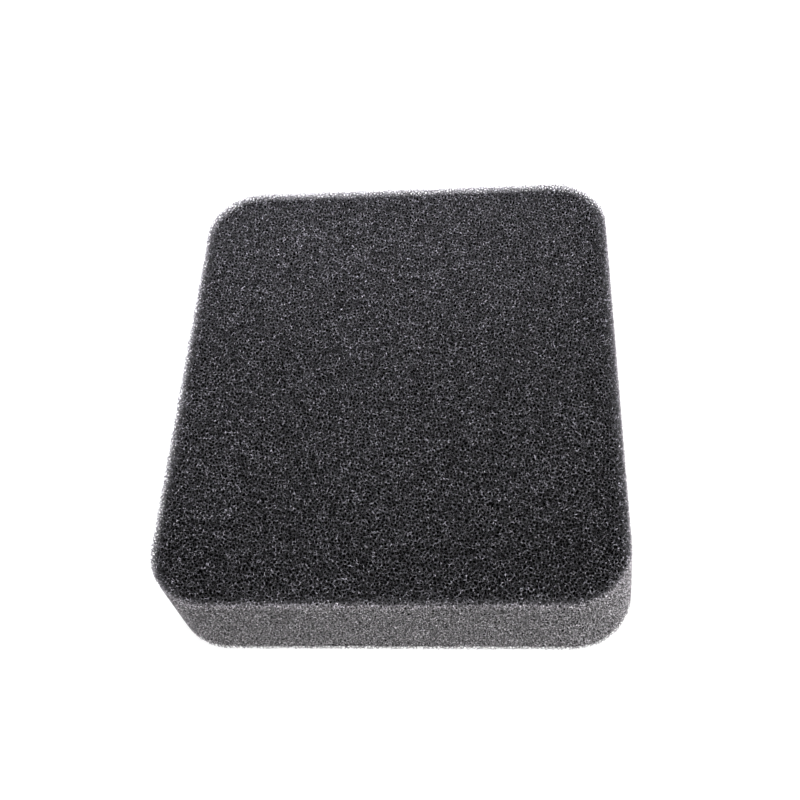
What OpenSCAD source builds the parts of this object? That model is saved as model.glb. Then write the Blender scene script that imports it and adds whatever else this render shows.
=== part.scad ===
// Foam element for the air filter of a small engine.
// It is one block of open-cell foam, cut from sheet: a rounded rectangle in plan,
// with flat faces above and below and upright sides that meet them at sharp edges.
// The origin is the middle of the bottom face, with +Z up through the thickness.

/* [Plan] */
// Width, along X
element_width = 115; // [60:1:200]
// Length, along Y
element_length = 134; // [60:1:240]
// Radius of the four upright corners
corner_radius = 15.5; // [2:0.5:29]

/* [Sheet] */
// Thickness of the foam sheet that the element is cut from, along Z
sheet_thickness = 25; // [6:1:60]

/* [Hidden] */
// Facets of each corner circle in a preview
$fn = 96;

// Distance from the middle of the plan to each corner's centre
corner_x = element_width / 2 - corner_radius;
corner_y = element_length / 2 - corner_radius;

foam_charcoal = "#3b3a3e";

// The plan: two bars that cross, and a circle in each corner.
module element_outline() {
    square([element_width, 2 * corner_y], center = true);
    square([2 * corner_x, element_length], center = true);
    for (x_side = [-1, 1], y_side = [-1, 1])
        translate([x_side * corner_x, y_side * corner_y])
            circle(r = corner_radius);
}

module foam_element() {
    color(foam_charcoal)
        linear_extrude(height = sheet_thickness)
            element_outline();
}

foam_element();
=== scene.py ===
"""The looks of a foam air filter element: a rounded block of open-cell foam.

The block is built as the real foam is: a lattice of fine struts, with three cells meeting along
each strut and four at each joint. Only the skin, the outermost cells under each face, is built
strut by strut. Deeper cells can't be told apart, so a core painted dark with their shade stands for them.
"""

import math
from concurrent.futures import ThreadPoolExecutor

import bpy
import numpy as np
from mathutils import Euler, Matrix, Vector
from mathutils.kdtree import KDTree


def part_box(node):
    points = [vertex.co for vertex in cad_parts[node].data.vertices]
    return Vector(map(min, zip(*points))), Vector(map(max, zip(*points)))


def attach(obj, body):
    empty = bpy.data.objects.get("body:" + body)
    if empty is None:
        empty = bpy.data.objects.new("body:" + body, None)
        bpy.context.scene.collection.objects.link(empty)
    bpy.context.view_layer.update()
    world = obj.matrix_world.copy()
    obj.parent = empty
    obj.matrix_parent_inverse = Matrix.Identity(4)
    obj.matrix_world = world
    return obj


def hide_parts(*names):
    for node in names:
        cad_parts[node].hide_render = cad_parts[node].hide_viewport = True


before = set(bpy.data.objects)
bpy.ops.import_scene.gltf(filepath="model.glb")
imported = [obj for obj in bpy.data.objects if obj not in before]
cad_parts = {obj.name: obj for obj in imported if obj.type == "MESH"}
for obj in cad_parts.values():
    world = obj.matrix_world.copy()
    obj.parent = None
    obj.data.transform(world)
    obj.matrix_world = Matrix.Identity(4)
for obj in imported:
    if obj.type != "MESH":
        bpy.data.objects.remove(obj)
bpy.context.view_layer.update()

NODE = "foam_element"
SEED = 5

# ---- Foam, in metres ----
CELL = 0.00103           # spacing of the foam's cells
PACKING_TURN = Euler((0.33, 0.59, 0.47))  # turns the cells' rows away from the block's faces
SHAKE = 0.34             # how far a cell's middle strays from its place in its row, in cells
MARGIN = 1.3             # how far past the skin cells are laid, in cells, so the skin's are complete
PULL = 0.5               # how far each joint is pulled to the middle of its neighbours, as a share
TOP_SKIN = 0.0008        # how deep under the top the struts are built
SIDE_SKIN = 0.0005       # and how deep under the sides
BOTTOM_SKIN = 0.00045    # and above the bottom
CORE_ROUNDING = 0.0031   # radius of the core's top edge, so that light shows through the foam there
JOINT_SIZE = 0.000077    # from a joint's middle to the corners that its struts start from
JOINT_SPREAD = 0.25      # how far joints differ in size, as a share
SIDE_BAND_DEPTH = 0.0015     # how deep under the sides the struts are made lighter, partly paler cut foam, partly painted light
CUT_LEAN = 0.0015        # the sides lean: the bottom sits this far towards +X of the top
CORE_GRID = 0.0012       # width of the core's facets
CORE_PITS = 0.0002       # how far the core's surface is uneven
CORE_STEPS = 4           # how many moves bring the block's surface in to the core's
NUDGE = 1e-5             # how far to each side depths are compared to find the way in
TOUCHING = 1e-5          # points this near a face are on it

# ---- Working out the foam ----
NEARBY = 30              # how many of the nearest cells can touch a cell
FEW = 9                  # how many of them rule out most false edges
FARTHEST_EDGE = 0.9      # how far a cell's edge can be from the cell's middle, in cells
BATCH = 1000             # how many cells are worked out at a time
PATCHES = (4, 4)         # how the top and the bottom are divided into pieces, along X and Y
SECTORS = 8              # how the sides are divided into pieces, round the block

# ---- Camera ----
CAMERA_AZIMUTH = math.radians(9.5)
CAMERA_ELEVATION = math.radians(54.7)
CAMERA_ROLL = math.radians(-8.77)
CAMERA_LENS = 52.6       # mm, on Blender's 36 mm sensor
CAMERA_DISTANCE = 2.846  # in widths of the block
AIM_RIGHT, AIM_UP = -0.0096, 0.0585  # how far to the side of the origin the lens points, in widths

low, high = (np.array(corner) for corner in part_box(NODE))
size = high - low
middle = (low + high) / 2


# ---- The block's shape ----
def corner_radius():
    """Radius of the block's upright corners: how far its flat end stops short of its side."""
    points = [v.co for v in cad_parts[NODE].data.vertices]
    flat_end = [p.x for p in points if p.y > high[1] - TOUCHING]
    return high[0] - max(flat_end)


RADIUS = corner_radius()


def depth_from_sides(points):
    """How far each point is inside the block's outline seen from above, up to the corners' radius."""
    past_arc_centres = np.abs(points - middle)[:, :2] - (size[:2] / 2 - RADIUS)
    return RADIUS - np.linalg.norm(np.maximum(past_arc_centres, 0), axis=1)


def depth_under_surface(points):
    """How deep each point is under the block's nearest face. It is negative outside the block."""
    to_flat_face = size[2] / 2 - np.abs(points[:, 2] - middle[2])
    return np.minimum(depth_from_sides(points), to_flat_face)


def depth_in_core(points):
    """How deep each point is in the core, as far as its rounding. It is negative in the skin."""
    from_top = high[2] - points[:, 2] - TOP_SKIN
    from_side = depth_from_sides(points) - SIDE_SKIN
    to_arc_centre = np.maximum(CORE_ROUNDING - np.stack([from_top, from_side]), 0)
    from_bottom = points[:, 2] - low[2] - BOTTOM_SKIN
    return np.minimum(CORE_ROUNDING - np.linalg.norm(to_arc_centre, axis=0), from_bottom)


def way_round(points):
    """Each point's direction from the block's middle, as a share of a turn."""
    return np.arctan2(points[:, 1] - middle[1], points[:, 0] - middle[0]) / (2 * math.pi) + 0.5


def leaned(points):
    """The points, with the block's sides leaning as CUT_LEAN says."""
    share_down = (high[2] - points[:, 2]) / size[2]
    return points + np.outer(share_down * CUT_LEAN, (1, 0, 0))


# ---- The cells ----
# Each point inside foam belongs to the cell whose middle is nearest. So an edge lies where three
# cells meet, on the two planes halfway from one cell to the two others, and four meet at its ends.
def scattered_middles(rng):
    """The cells' middles: closely packed in rows, then shaken until no row is left."""
    turn = np.array(PACKING_TURN.to_matrix())
    reach = np.abs(turn.T) @ size / 2 + 2 * CELL
    count = np.ceil(2 * reach / CELL).astype(int)
    corner = np.indices(count).reshape(3, -1).T - (count - 1) / 2
    packed = middle + CELL * np.concatenate([corner, corner + 0.5]) @ turn.T
    outside, inside = -depth_under_surface(packed), depth_in_core(packed)
    near_skin = packed[np.maximum(outside, inside) < MARGIN * CELL]
    return near_skin + CELL * rng.uniform(-SHAKE, SHAKE, near_skin.shape)


def nearest_cells(middles):
    """For each cell, the numbers of the NEARBY cells nearest to it, nearest first."""
    tree = KDTree(len(middles))
    for number, place in enumerate(middles):
        tree.insert(place, number)
    tree.balance()
    return np.array([[hit[1] for hit in tree.find_n(place, NEARBY + 1)[1:]] for place in middles])


def clipped(lines, across, half, planes):
    """The stretch of each line that is inside its cell, as far as the nearest planes can tell.

    A line is its cell, the two planes that it lies on, a point on it and its direction. For each
    line this gives where the stretch starts and stops, and the planes that bound it there.
    """
    cell, one, two, foot, along = lines
    slope = np.einsum("ekc,ec->ek", across[cell, :planes], along)
    room = half[cell, :planes] - np.einsum("ekc,ec->ek", across[cell, :planes], foot)
    own = (np.arange(planes) == one[:, None]) | (np.arange(planes) == two[:, None])
    with np.errstate(divide="ignore", invalid="ignore"):
        meets = room / slope
    leaves = np.where((slope > 0) & ~own, meets, np.inf)
    enters = np.where((slope < 0) & ~own, meets, -np.inf)
    first, last = enters.argmax(axis=1), leaves.argmin(axis=1)
    each = np.arange(len(cell))
    return enters[each, first], leaves[each, last], first, last


def cell_edges(cells, middles, nearby):
    """The edges of some cells: their three cells, and at each end the fourth cell and the place.

    Each edge is given once, by the lowest numbered of its three cells.
    """
    others = nearby[cells]
    across = middles[others] - middles[cells][:, None]
    half = np.square(across).sum(axis=2) / 2
    later = (others[:, :, None] > cells[:, None, None]) & (others[:, None, :] > others[:, :, None])
    cell, one, two = np.nonzero(later)
    along = np.cross(across[cell, one], across[cell, two])
    foot = half[cell, one][:, None] * np.cross(across[cell, two], along)
    foot += half[cell, two][:, None] * np.cross(along, across[cell, one])
    foot /= np.square(along).sum(axis=1)[:, None]
    close = np.square(foot).sum(axis=1) < (FARTHEST_EDGE * CELL) ** 2
    lines = [values[close] for values in (cell, one, two, foot, along)]
    start, stop, _, _ = clipped(lines, across, half, FEW)
    lines = [values[start < stop] for values in lines]
    start, stop, first, last = clipped(lines, across, half, NEARBY)
    real = (start < stop) & np.isfinite(start) & np.isfinite(stop)
    cell, one, two, foot, along = (values[real] for values in lines)
    trio = np.stack([cells[cell], others[cell, one], others[cell, two]])
    fourth = np.stack([others[cell, first[real]], others[cell, last[real]]])
    along_by = np.stack([start[real], stop[real]])[:, :, None]
    return trio, fourth, middles[cells[cell]] + foot + along * along_by


def joints_and_neighbours(rng):
    """The place of each joint, and the four joints at its struts' far ends, or -1 if it has fewer."""
    middles = scattered_middles(rng)
    nearby = nearest_cells(middles)
    batches = np.array_split(np.arange(len(middles)), len(middles) // BATCH)
    with ThreadPoolExecutor() as pool:
        edges = list(pool.map(lambda cells: cell_edges(cells, middles, nearby), batches))
    trio, fourth, places = (np.concatenate(part, axis=1) for part in zip(*edges))

    # Each cell has a random code, and a joint is known by the sum of its four cells' codes.
    code = rng.integers(0, 2 ** 62, len(middles), dtype=np.uint64)
    joint_code = code[trio].sum(axis=0) + code[fourth]
    _, picked, number = np.unique(joint_code, return_index=True, return_inverse=True)
    number = number.reshape(joint_code.shape)
    far_end = number[::-1].ravel()
    by_joint = np.argsort(number.ravel(), kind="stable")
    struts = np.bincount(number.ravel())
    whole = struts == 4
    first = (np.cumsum(struts) - struts)[whole]
    neighbours = np.full((len(picked), 4), -1)
    neighbours[whole] = far_end[by_joint[first[:, None] + np.arange(4)]]
    return places.reshape(-1, 3)[picked], neighbours


# ---- The struts ----
# A joint is a small tetrahedron, and each of its faces starts one strut. These are the
# corners of the face opposite each corner, counted round so that it faces outwards.
FACES = np.array([(1, 2, 3), (0, 3, 2), (0, 1, 3), (0, 2, 1)])


class Lattice:
    """The joints of the skin, with their neighbours, and the corners where their struts begin."""

    def __init__(self):
        rng = np.random.default_rng(SEED)
        places, neighbours = joints_and_neighbours(rng)
        whole = neighbours[:, 0] >= 0
        pulled = places[neighbours[whole]].mean(axis=1)
        places[whole] += PULL * (pulled - places[whole])
        depth = depth_under_surface(places)
        kept = np.flatnonzero(whole & (depth > 0) & (depth_in_core(places) < 0))
        neighbours = neighbours[kept]

        self.place = places[kept]
        self.painted_glint = rng.random(len(kept))         # how bright each joint's painted glint is
        self.step = places[neighbours] - self.place[:, None, :]
        own = np.full(len(places), -1)
        own[kept] = np.arange(len(kept))
        self.joined = own[neighbours]             # each neighbour's own number, or -1
        here, there = depth[kept][:, None], depth[neighbours]
        self.reach = np.where(there < 0, here / (here - there), 1.0)  # a cut strut stops at the face

        heading = self.step / np.linalg.norm(self.step, axis=2)[:, :, None]
        spread = rng.uniform(1 - JOINT_SPREAD, 1 + JOINT_SPREAD, len(kept))
        self.corners = self.place[:, None, :] - heading * (JOINT_SIZE * spread)[:, None, None]
        one, two, three = (self.corners[:, k] - self.corners[:, 0] for k in (1, 2, 3))
        inside_out = np.einsum("ij,ij->i", one, np.cross(two, three)) < 0
        self.faces = np.where(inside_out[:, None, None], FACES[:, ::-1], FACES)


def best_turned(first, last, points):
    """The last rings of some struts, each turned to run as straight as it can from its first ring."""
    turned = np.stack([np.roll(last, -k, axis=1) for k in range(3)])
    gap = np.square(points[turned] - points[first]).sum(axis=(2, 3))
    return turned[gap.argmin(axis=0), np.arange(len(first))]


def add_struts(name, lattice, mine):
    """A closed mesh of the joints numbered in mine and their struts."""
    own = np.full(len(lattice.place), -1)
    own[mine] = np.arange(len(mine))
    joined = lattice.joined[mine]
    here = np.where(joined >= 0, own[joined], -1)
    rings = lattice.faces[mine] + 4 * np.arange(len(mine))[:, None, None]
    points = lattice.corners[mine].reshape(-1, 3)
    painted_glint = np.repeat(lattice.painted_glint[mine], 4)

    # Struts between two joints of this piece, each made once.
    start, side = np.nonzero(here > np.arange(len(mine))[:, None])
    end = here[start, side]
    end_side = np.argmax(here[end] == start[:, None], axis=1)
    first = rings[start, side]
    last = best_turned(first, rings[end, end_side][:, ::-1], points)

    # Struts that leave this piece: cut at a face, sunk in the core or carried on by the next piece.
    start, side = np.nonzero(here < 0)
    goes_on = joined[start, side] >= 0
    share = np.where(goes_on, 0.5, lattice.reach[mine][start, side])
    leaving = rings[start, side]
    ends = points[leaving] + (lattice.step[mine][start, side] * share[:, None])[:, None, :]
    caps = len(points) + np.arange(3 * len(start)).reshape(-1, 3)

    first, last = np.concatenate([first, leaving]), np.concatenate([last, caps])
    walls = [np.stack([first[:, k], first[:, k - 2], last[:, k - 2], last[:, k]], axis=1) for k in range(3)]
    points = np.concatenate([points, ends.reshape(-1, 3)])
    painted_glint = np.concatenate([painted_glint, np.repeat(lattice.painted_glint[mine][start], 3)])
    return add_mesh(name, points, np.concatenate(walls), caps, painted_glint)


def add_mesh(name, points, quads, triangles, painted_glint):
    """A smooth piece from arrays of points and faces, with what its material reads at each point."""
    mesh = bpy.data.meshes.new(name)
    corners = np.concatenate([quads.ravel(), triangles.ravel()])
    quad_starts = 4 * np.arange(len(quads))
    triangle_starts = quads.size + 3 * np.arange(len(triangles))
    starts = np.concatenate([quad_starts, triangle_starts])
    mesh.vertices.add(len(points))
    mesh.vertices.foreach_set("co", leaned(points).ravel())
    mesh.loops.add(len(corners))
    mesh.loops.foreach_set("vertex_index", corners.astype(np.int32))
    mesh.polygons.add(len(starts))
    mesh.polygons.foreach_set("loop_start", starts.astype(np.int32))
    mesh.update(calc_edges=True)
    mesh.shade_smooth()
    add_flat_map(mesh, points[corners])
    depth = depth_under_surface(points)
    read_by_material = {
        "painted_glint": painted_glint,
        "scuff": 1 - np.clip(depth_from_sides(points) / SIDE_BAND_DEPTH, 0, 1),
        "depth": depth / (depth - depth_in_core(points)),
    }
    for attribute, values in read_by_material.items():
        mesh.attributes.new(attribute, "FLOAT", "POINT").data.foreach_set("value", values)
    piece = bpy.data.objects.new(name, mesh)
    bpy.context.collection.objects.link(piece)
    return piece


def add_flat_map(mesh, corners):
    """A UV map for the export: the piece seen from above, or unrolled if it is a side piece."""
    on_side = "side" in mesh.name
    flat = np.stack([way_round(corners), corners[:, 2]], axis=1) if on_side else corners[:, :2]
    flat = (flat - flat.min(axis=0)) / np.ptp(flat, axis=0)
    mesh.uv_layers.new(name="OFBake").data.foreach_set("uv", flat.ravel())


# ---- Pieces ----
def patch_of(places):
    """The number of the patch of the top or bottom that each joint is in."""
    share = np.clip((places[:, :2] - low[:2]) / size[:2], 0, 0.999)
    column, row = (share * PATCHES).astype(int).T
    return column + PATCHES[0] * row


def add_skin():
    """All the struts, in patches of the top, the bottom and the sides."""
    lattice = Lattice()
    places = lattice.place
    on_top = places[:, 2] > high[2] - TOP_SKIN
    on_bottom = places[:, 2] < low[2] + BOTTOM_SKIN
    sector = np.minimum(way_round(places) * SECTORS, SECTORS - 1).astype(int)
    layers = {
        "top": (on_top, patch_of(places)),
        "bottom": (on_bottom, patch_of(places)),
        "side": (~on_top & ~on_bottom, sector),
    }
    pieces = []
    for layer, (inside, part) in layers.items():
        for number in range(part.max() + 1):
            mine = np.flatnonzero(inside & (part == number))
            pieces.append(add_struts(f"foam_{layer}_{number + 1}", lattice, mine))
    return pieces


def deeper(points):
    """The direction in which each point gets deeper in the core fastest."""
    steps = NUDGE * np.eye(3)
    gains = [depth_in_core(points + step) - depth_in_core(points - step) for step in steps]
    return np.stack(gains, axis=1) / (2 * NUDGE)


def add_core():
    """The deep cells under the skin: a block with an uneven surface, which its material paints dark with
    their shade.
    """
    core = bpy.data.objects.new("foam_core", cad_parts[NODE].data.copy())
    bpy.context.collection.objects.link(core)
    grid = core.modifiers.new("Fine grid", "REMESH")
    grid.mode = "VOXEL"
    grid.voxel_size = CORE_GRID
    fine = core.evaluated_get(bpy.context.evaluated_depsgraph_get())
    core.data = bpy.data.meshes.new_from_object(fine)
    core.modifiers.clear()
    points = np.empty(3 * len(core.data.vertices))
    core.data.vertices.foreach_get("co", points)
    points = points.reshape(-1, 3)
    for _ in range(CORE_STEPS):
        points -= depth_in_core(points)[:, None] * deeper(points)
    rng = np.random.default_rng(SEED)
    points += deeper(points) * rng.uniform(0, CORE_PITS, len(points))[:, None]
    core.data.vertices.foreach_set("co", leaned(points).ravel())
    core.data.update()
    return core


# ---- Materials ----
DULL, LIGHT = 0.005, 0.42     # shades of the joints, from no painted glint to the brightest painted glint
RARE_GLINTS = 3.5               # how rare the bright painted glints on joints are
GLINT_SPECKLE = 0.7                 # how far fine speckles of painted glint lighten or darken a strut, as a share
SPECKLE_SIZE = 0.0004         # metres
NOISE_LOW, NOISE_HIGH = 0.3, 0.7  # the range that most of a noise texture's values are in
ROUGHEST, SMOOTHEST = 0.6, 0.4    # roughness of the dark and the light speckles
DARK_FROM = 0.85              # how far through the skin the painted shade turns the struts black, as a share
SIDE_GAIN = 2.45             # how much lighter the struts near the sides are: partly paler cut foam, partly painted light
SIDE_EVENS = 0.7             # how far the struts near the sides lose the contrast of the painted glints
SIDE_EVEN_SHADE = DULL + (LIGHT - DULL) / 3  # the shade that they are evened to
PAINTED_SIDE_LIGHT = 0.3           # painted light from the sides: how light the deepest struts under a side stay
COOL = (1.0, 0.98, 1.07, 1.0)     # tint of the flat faces
WARM = (1.03, 0.98, 1.03, 1.0)    # tint of the sides
CORE_BY_FACES, CORE_BY_SIDES = 0.002, 0.045  # how light the core is under the flat faces and behind the sides: painted shade of the deep cells, with painted light from the sides
CORE_STRUTS, CORE_HOLES = 3.0, 0.1    # how light its painted faint struts are, and the painted shade in the holes between them
STRUT_EDGE, HOLE_EDGE = 0.03, 0.15    # how far those reach from a cell's wall, in cells


def new_material(name):
    """A new material, with its tree, its shader and the place in the object that nodes can read."""
    material = bpy.data.materials.new(name)
    material.use_nodes = True
    tree = material.node_tree
    place = tree.nodes.new("ShaderNodeTexCoord").outputs["Object"]
    return material, tree, tree.nodes["Principled BSDF"], place


def linked(tree, kind, settings=None, **inputs):
    """A new node whose inputs are set to numbers or linked to other nodes' outputs.

    An input is given by its name, or by its number after an underscore, as in _0.
    """
    made = tree.nodes.new(kind)
    for name, value in (settings or {}).items():
        setattr(made, name, value)
    for name, value in inputs.items():
        key = int(name[1:]) if name[1:].isdigit() else name.replace("_", " ")
        socket = made.inputs[key]
        if isinstance(value, bpy.types.NodeSocket):
            tree.links.new(value, socket)
        else:
            socket.default_value = value
    return made


def read(tree, attribute):
    """What the mesh says about each point."""
    return linked(tree, "ShaderNodeAttribute", {"attribute_name": attribute}).outputs["Fac"]


def ranged(tree, value, start, stop, low_value=0.0, high_value=1.0):
    """The value, spread from low_value..high_value to start..stop."""
    spread = linked(
        tree, "ShaderNodeMapRange",
        Value=value, From_Min=low_value, From_Max=high_value, To_Min=start, To_Max=stop,
    )
    return spread.outputs["Result"]


def combined(tree, operation, one, two):
    """Two values, multiplied or otherwise combined."""
    return linked(tree, "ShaderNodeMath", {"operation": operation}, _0=one, _1=two).outputs[0]


def foam_material():
    """Charcoal foam: painted glints on joints and speckles, painted shade deeper in the skin, and lighter
    near the sides, partly paler cut foam and partly painted light.
    """
    material, tree, shader, place = new_material("charcoal_foam")
    painted_glint, scuff, depth = (read(tree, attribute) for attribute in ("painted_glint", "scuff", "depth"))
    # Painted glints: each joint's shade comes from its random painted glint, mostly dull, a few bright.
    shade = ranged(tree, combined(tree, "POWER", painted_glint, RARE_GLINTS), DULL, LIGHT)
    evened = linked(
        tree, "ShaderNodeMix", {"data_type": "FLOAT"},
        _0=ranged(tree, scuff, 0.0, SIDE_EVENS), _2=shade, _3=SIDE_EVEN_SHADE,
    )
    noise = linked(tree, "ShaderNodeTexNoise", Vector=place, Scale=1 / SPECKLE_SIZE, Detail=0.0)
    noise = noise.outputs["Fac"]
    # Painted glints: the noise lightens and darkens struts in fine speckles; it also sets their roughness.
    glint_speckle = ranged(tree, noise, 1 - GLINT_SPECKLE, 1 + GLINT_SPECKLE, NOISE_LOW, NOISE_HIGH)
    # Painted shade: struts darken with depth under a flat face.
    lit_from_face = ranged(tree, depth, 1.0, 0.0, 0.0, DARK_FROM)
    # Painted light: near a side, the deepest struts stay partly lit.
    lit_from_side = ranged(tree, scuff, 0.0, PAINTED_SIDE_LIGHT)
    lit = combined(tree, "MAXIMUM", lit_from_face, lit_from_side)
    shade = combined(tree, "MULTIPLY", evened.outputs[0], glint_speckle)
    shade = combined(tree, "MULTIPLY", shade, lit)
    # Lighter near the sides: partly paler cut foam, partly painted light.
    shade = combined(tree, "MULTIPLY", shade, ranged(tree, scuff, 1.0, SIDE_GAIN))
    tint = linked(tree, "ShaderNodeMix", {"data_type": "RGBA"}, _0=scuff, _6=COOL, _7=WARM)
    colour = linked(
        tree, "ShaderNodeVectorMath", {"operation": "SCALE"},
        _0=tint.outputs[2], Scale=shade,
    )
    tree.links.new(colour.outputs["Vector"], shader.inputs["Base Color"])
    tree.links.new(ranged(tree, noise, ROUGHEST, SMOOTHEST), shader.inputs["Roughness"])
    return material


def core_material():
    """The foam's inside, painted dark with the deep cells' shade, with painted faint struts and painted
    shade in the holes between them, and painted light behind the sides.
    """
    material, tree, shader, place = new_material("deep_foam")
    normal = tree.nodes.new("ShaderNodeTexCoord").outputs["Normal"]
    upward = linked(tree, "ShaderNodeSeparateXYZ", Vector=normal).outputs["Z"]
    flatness = combined(tree, "MULTIPLY", upward, upward)
    # Painted shade and light: the core is near black under the flat faces and lighter behind the sides.
    shade = ranged(tree, flatness, CORE_BY_SIDES, CORE_BY_FACES)
    cells = linked(
        tree, "ShaderNodeTexVoronoi", {"feature": "DISTANCE_TO_EDGE"},
        Vector=place, Scale=1 / CELL,
    )
    from_wall = cells.outputs["Distance"]
    # Painted struts and holes: lighter lines along the cells' walls, painted shade in the holes.
    struts = ranged(tree, from_wall, CORE_STRUTS, CORE_HOLES, STRUT_EDGE, HOLE_EDGE)
    tree.links.new(combined(tree, "MULTIPLY", shade, struts), shader.inputs["Base Color"])
    shader.inputs["Roughness"].default_value = 0.9
    shader.inputs["Specular IOR Level"].default_value = 0.0
    return material


# ---- Studio ----
FLOOR_WIDTH = 4.0             # metres
FLOOR_GREY = 0.25             # how much of the light on it the floor gives back
FLOOR_GLOW = 0.92             # its own light, so that it is white up to the block's edge
SKY_LOW, SKY_HIGH = 4.5, 0.1  # how bright the studio is at the horizon, and from SKY_TOP up
SKY_TOP = 0.45                # height, where straight up is 1


def add_floor():
    """A floor that glows softly, like a light table."""
    half = FLOOR_WIDTH / 2
    plan = ((-half, -half), (half, -half), (half, half), (-half, half))
    corners = [(x, y, low[2]) for x, y in plan]
    mesh = bpy.data.meshes.new("floor")
    mesh.from_pydata(corners, [], [(0, 1, 2, 3)])
    floor = bpy.data.objects.new("floor", mesh)
    bpy.context.collection.objects.link(floor)
    material, _, shader, _ = new_material("pale_floor")
    shader.inputs["Base Color"].default_value = (FLOOR_GREY, FLOOR_GREY, FLOOR_GREY, 1)
    shader.inputs["Roughness"].default_value = 0.9
    shader.inputs["Emission Color"].default_value = (1, 1, 1, 1)
    shader.inputs["Emission Strength"].default_value = FLOOR_GLOW
    mesh.materials.append(material)


def add_sky():
    """White walls all round, and a dimmer ceiling."""
    world = bpy.data.worlds.new("studio")
    bpy.context.scene.world = world
    world.use_nodes = True
    tree = world.node_tree
    direction = tree.nodes.new("ShaderNodeTexCoord").outputs["Generated"]
    height = linked(tree, "ShaderNodeSeparateXYZ", Vector=direction).outputs["Z"]
    strength = ranged(tree, height, SKY_LOW, SKY_HIGH, 0.0, SKY_TOP)
    tree.links.new(strength, tree.nodes["Background"].inputs["Strength"])
    tree.nodes["Background"].inputs["Color"].default_value = (1, 1, 1, 1)


def add_softbox(name, place, width, power, colour=(1, 1, 1)):
    """A round softbox that faces the block."""
    light = bpy.data.lights.new(name, "AREA")
    light.shape = "DISK"
    light.size = width
    light.energy = power
    light.color = colour
    lamp = bpy.data.objects.new(name, light)
    bpy.context.collection.objects.link(lamp)
    lamp.location = place
    lamp.rotation_euler = (Vector(middle) - lamp.location).to_track_quat("-Z", "Y").to_euler()


def add_camera():
    """The camera, from its angles round the block and its distance in widths of the block."""
    level = Vector((math.cos(CAMERA_AZIMUTH), math.sin(CAMERA_AZIMUTH), 0))
    ahead = Vector((-level.y, level.x, -math.tan(CAMERA_ELEVATION))).normalized()
    upright = level.cross(ahead)
    right = math.cos(CAMERA_ROLL) * level + math.sin(CAMERA_ROLL) * upright
    up = math.cos(CAMERA_ROLL) * upright - math.sin(CAMERA_ROLL) * level
    place = AIM_RIGHT * right + AIM_UP * up - CAMERA_DISTANCE * ahead
    lens = bpy.data.cameras.new("camera")
    lens.lens = CAMERA_LENS
    lens.clip_start = 0.01
    camera = bpy.data.objects.new("camera", lens)
    bpy.context.collection.objects.link(camera)
    camera.matrix_world = Matrix.LocRotScale(
        Vector((middle[0], middle[1], low[2])) + place * size[0],
        Matrix((right, up, -ahead)).transposed(),
        None,
    )
    bpy.context.scene.camera = camera


def add_foam():
    """The core, with the skin's pieces riding on it. It replaces the block."""
    core = add_core()
    core.data.materials.clear()
    core.data.materials.append(core_material())
    foam = foam_material()
    for piece in add_skin():
        piece.data.materials.append(foam)
        piece.parent = core
    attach(core, "root")
    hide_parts(NODE)


add_foam()
add_floor()
add_sky()
add_softbox("softbox_back", place=(-0.03, 0.125, 0.18), width=0.12, power=1.2, colour=(0.92, 0.9, 1))
add_softbox("softbox_front", place=(0.1, -0.4, 0.03), width=0.06, power=0.95)
add_softbox("softbox_right", place=(0.5, -0.1, 0.15), width=0.3, power=3)
add_camera()
bpy.context.scene.view_settings.view_transform = "Standard"
